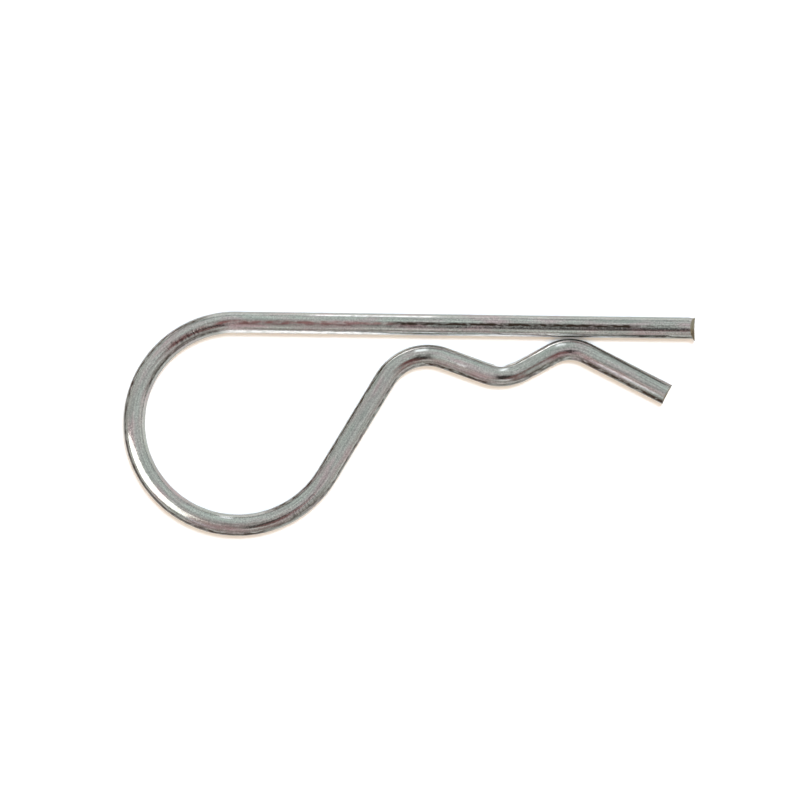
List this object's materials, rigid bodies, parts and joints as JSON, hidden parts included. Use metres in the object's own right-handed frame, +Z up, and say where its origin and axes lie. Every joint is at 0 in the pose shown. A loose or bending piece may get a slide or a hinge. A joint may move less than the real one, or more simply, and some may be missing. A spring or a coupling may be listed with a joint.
{
  "type": "hitch r clip pin",
  "caption": "R-shaped spring-wire clip: a straight leg for a pin's cross hole, a round pull loop, and a waved sprung arm that snaps round the pin.",
  "frame": {"origin": "under the middle of the clip, on the surface that it lies on", "axes": "+X from the loop along the straight leg to its free end, +Y from the sprung arm to the straight leg, +Z up, square to the plane of the wire"},
  "size_m": [0.08, 0.0314, 0.003],
  "materials": {
    "zinc_plated_spring_steel": "bright zinc plate with a thin clear passivate, over hard-drawn spring wire"
  },
  "bodies": {
    "root": {"r_clip_wire": "zinc_plated_spring_steel"}
  },
  "joints": []
}
